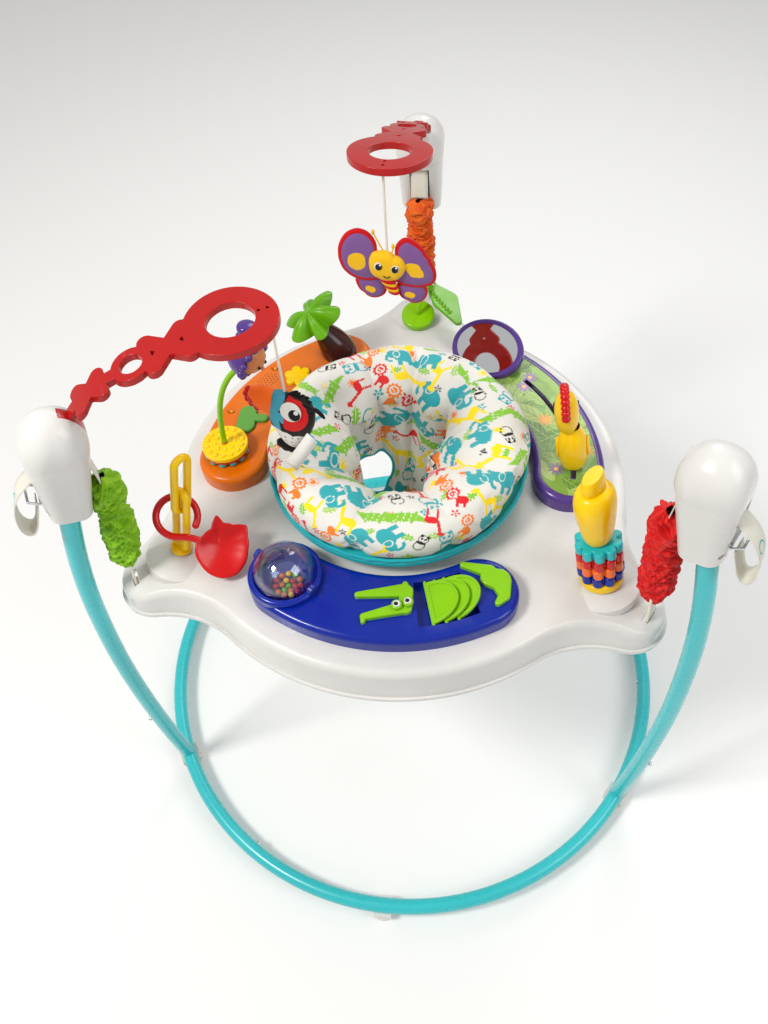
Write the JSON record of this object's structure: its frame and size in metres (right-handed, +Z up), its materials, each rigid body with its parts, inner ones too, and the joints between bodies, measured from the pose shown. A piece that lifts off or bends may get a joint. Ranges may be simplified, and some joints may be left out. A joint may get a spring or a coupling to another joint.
{
  "type": "baby activity jumper",
  "caption": "Bouncing baby play seat hung on springs in a three-legged frame, with a toy tray, turning padded seat and overhead toy bars.",
  "frame": {"origin": "centre of the floor ring, on the floor", "axes": "+Z up; the front play console is towards -Y; the rear leg stands at +Y"},
  "size_m": [0.8402, 0.8591, 0.903],
  "materials": {
    "teal_steel": "gloss",
    "white_plastic": "satin",
    "chrome": "polished",
    "spring_steel": "satin",
    "screw_steel": "satin",
    "webbing": "woven",
    "green_fabric": "woven",
    "red_fabric": "woven",
    "orange_fabric": "woven",
    "black_plush": "woven",
    "purple_plush": "woven",
    "lime_plastic": "gloss",
    "green_plastic": "gloss",
    "teal_plastic": "gloss",
    "blue_plastic": "gloss",
    "orange_plastic": "gloss",
    "purple_plastic": "gloss",
    "yellow_plastic": "gloss",
    "red_plastic": "gloss",
    "clear_plastic": "gloss",
    "brown_clear": "gloss",
    "mirror": "polished",
    "seat_fabric": "woven",
    "sling_fabric": "woven",
    "board": "satin",
    "bead_mix": "gloss"
  },
  "bodies": {
    "frame": {"base_arc_left": "teal_steel", "base_arc_right": "teal_steel", "base_arc_rear": "teal_steel", "floor_feet": "white_plastic", "uprights": "teal_steel", "snap_buttons": "chrome", "housing_inner_shells": "white_plastic", "housing_outer_shells": "white_plastic", "housing_screws": "screw_steel", "height_straps": "webbing", "strap_buckles": "chrome", "toy_bar_left": "red_plastic", "toy_bar_rear": "red_plastic", "springs": "spring_steel", "sleeve_left": "green_fabric", "sleeve_right": "red_fabric", "sleeve_rear": "orange_fabric"},
    "tray_body": {"tray": "white_plastic", "tray_tabs": "webbing", "tray_screws": "screw_steel", "battery_door": "white_plastic", "sound_module": "board", "console_blue": "blue_plastic", "crocodile_ends": "green_plastic", "console_orange": "orange_plastic", "console_purple": "purple_plastic", "mirror": "mirror", "link_post": "yellow_plastic", "leaf_stalk": "lime_plastic", "post_base": "yellow_plastic"},
    "seat": {"seat_ring": "teal_plastic", "seat_retainer": "teal_plastic", "seat_pad": "seat_fabric", "seat_sling": "sling_fabric"},
    "ball": {"bead_ball": "clear_plastic", "ball_beads": "bead_mix"},
    "flap_1": {"crocodile_flap_1": "green_plastic"},
    "flap_2": {"crocodile_flap_2": "green_plastic"},
    "flap_3": {"crocodile_flap_3": "green_plastic"},
    "flower": {"flower_button": "yellow_plastic"},
    "turtle": {"turtle_button": "green_plastic"},
    "palm": {"palm_trunk": "brown_clear", "palm_leaves": "green_plastic"},
    "disc_wavy": {"wavy_disc": "teal_plastic"},
    "disc_middle": {"middle_disc": "red_plastic"},
    "disc_beaded": {"beaded_disc": "yellow_plastic"},
    "stalk_figure": {"figure_rod": "lime_plastic", "figure_head": "purple_plastic"},
    "slider": {"sliding_figure": "yellow_plastic"},
    "ring_1": {"ring_blue": "blue_plastic"},
    "ring_2": {"ring_orange": "orange_plastic"},
    "ring_3": {"ring_red": "red_plastic"},
    "ring_4": {"ring_teal": "teal_plastic"},
    "rattle": {"post_top": "yellow_plastic"},
    "hook": {"hook_teether": "red_plastic"},
    "leaf": {"leaf_teether": "green_plastic"},
    "bird": {"toy_cord_left": "webbing", "toucan": "black_plush"},
    "moth": {"toy_cord_rear": "webbing", "butterfly": "purple_plush"}
  },
  "joints": [
    {"name": "bounce", "type": "slide", "parent": "frame", "child": "tray_body", "axis": [0, 0, 1], "range_m": [-0.12, 0.02], "stiffness_N_per_m": 1500, "springref_m": 0.02923, "deforming": ["springs", "sleeve_left", "sleeve_right", "sleeve_rear"]},
    {"name": "seat_turn", "type": "hinge", "parent": "tray_body", "child": "seat", "pos_m": [0, 0, 0.585], "axis": [0, 0, 1], "continuous": true},
    {"name": "ball_spin", "type": "hinge", "parent": "tray_body", "child": "ball", "pos_m": [-0.11077, -0.18076, 0.592], "axis": [0.8526, -0.5225, 0], "continuous": true},
    {"name": "flap_1_turn", "type": "hinge", "parent": "tray_body", "child": "flap_1", "pos_m": [0.05541, -0.20256, 0.582], "axis": [0.2639, -0.9646, 0], "range_deg": [0, 95]},
    {"name": "flap_2_turn", "type": "hinge", "parent": "tray_body", "child": "flap_2", "pos_m": [0.06768, -0.1988, 0.582], "axis": [0.3223, -0.9466, 0], "range_deg": [0, 95]},
    {"name": "flap_3_turn", "type": "hinge", "parent": "tray_body", "child": "flap_3", "pos_m": [0.07969, -0.19429, 0.582], "axis": [0.3795, -0.9252, 0], "range_deg": [0, 95]},
    {"name": "flower_press", "type": "slide", "parent": "tray_body", "child": "flower", "axis": [0, 0, 1], "range_m": [-0.003, 0], "stiffness_N_per_m": 300, "springref_m": 0.002},
    {"name": "turtle_press", "type": "slide", "parent": "tray_body", "child": "turtle", "axis": [0, 0, 1], "range_m": [-0.003, 0], "stiffness_N_per_m": 300, "springref_m": 0.002},
    {"name": "palm_tilt", "type": "hinge", "parent": "tray_body", "child": "palm", "pos_m": [-0.10116, 0.18631, 0.584], "axis": [-0.8788, -0.4772, 0], "range_deg": [-6, 6], "stiffness_Nm_per_rad": 2},
    {"name": "disc_wavy_spin", "type": "hinge", "parent": "tray_body", "child": "disc_wavy", "pos_m": [-0.21999, -0.00192, 0.59], "axis": [0, 0, 1], "continuous": true},
    {"name": "disc_middle_spin", "type": "hinge", "parent": "tray_body", "child": "disc_middle", "pos_m": [-0.21999, -0.00192, 0.59], "axis": [0, 0, 1], "continuous": true},
    {"name": "disc_beaded_spin", "type": "hinge", "parent": "tray_body", "child": "disc_beaded", "pos_m": [-0.21999, -0.00192, 0.59], "axis": [0, 0, 1], "continuous": true},
    {"name": "stalk_bend", "type": "hinge", "parent": "tray_body", "child": "stalk_figure", "pos_m": [-0.21999, -0.00192, 0.6064], "axis": [0.0087, -1, 0], "range_deg": [-10, 10], "stiffness_Nm_per_rad": 3},
    {"name": "slider_move", "type": "hinge", "parent": "tray_body", "child": "slider", "pos_m": [0, 0, 0.584], "axis": [0, 0, 1], "range_deg": [-3, 38]},
    {"name": "ring_1_spin", "type": "hinge", "parent": "tray_body", "child": "ring_1", "pos_m": [0.24768, -0.143, 0.5686], "axis": [-0.2022, 0.1167, 0.9724], "continuous": true},
    {"name": "ring_2_spin", "type": "hinge", "parent": "tray_body", "child": "ring_2", "pos_m": [0.24768, -0.143, 0.5686], "axis": [-0.2022, 0.1167, 0.9724], "continuous": true},
    {"name": "ring_3_spin", "type": "hinge", "parent": "tray_body", "child": "ring_3", "pos_m": [0.24768, -0.143, 0.5686], "axis": [-0.2022, 0.1167, 0.9724], "continuous": true},
    {"name": "ring_4_spin", "type": "hinge", "parent": "tray_body", "child": "ring_4", "pos_m": [0.24768, -0.143, 0.5686], "axis": [-0.2022, 0.1167, 0.9724], "continuous": true},
    {"name": "rattle_spin", "type": "hinge", "parent": "tray_body", "child": "rattle", "pos_m": [0.24768, -0.143, 0.5686], "axis": [-0.2022, 0.1167, 0.9724], "continuous": true},
    {"name": "hook_lift", "type": "hinge", "parent": "tray_body", "child": "hook", "pos_m": [-0.23989, -0.1385, 0.628], "axis": [-0.848, -0.5299, 0], "range_deg": [0, 25]},
    {"name": "leaf_lift", "type": "hinge", "parent": "tray_body", "child": "leaf", "pos_m": [0.015, 0.3265, 0.5955], "axis": [-0.848, -0.5299, 0], "range_deg": [0, 8]},
    {"name": "bird_swing", "type": "hinge", "parent": "frame", "child": "bird", "pos_m": [-0.10825, -0.0625, 0.8703], "axis": [1, 0, 0], "range_deg": [-25, 8]},
    {"name": "moth_swing", "type": "hinge", "parent": "frame", "child": "moth", "pos_m": [-0.0192, 0.13597, 0.89684], "axis": [1, 0, 0], "range_deg": [-25, 25]}
  ],
  "couplings": [
    {"joint": "flap_2_turn", "follows": "flap_1_turn", "ratio": 1},
    {"joint": "flap_3_turn", "follows": "flap_1_turn", "ratio": 1}
  ]
}
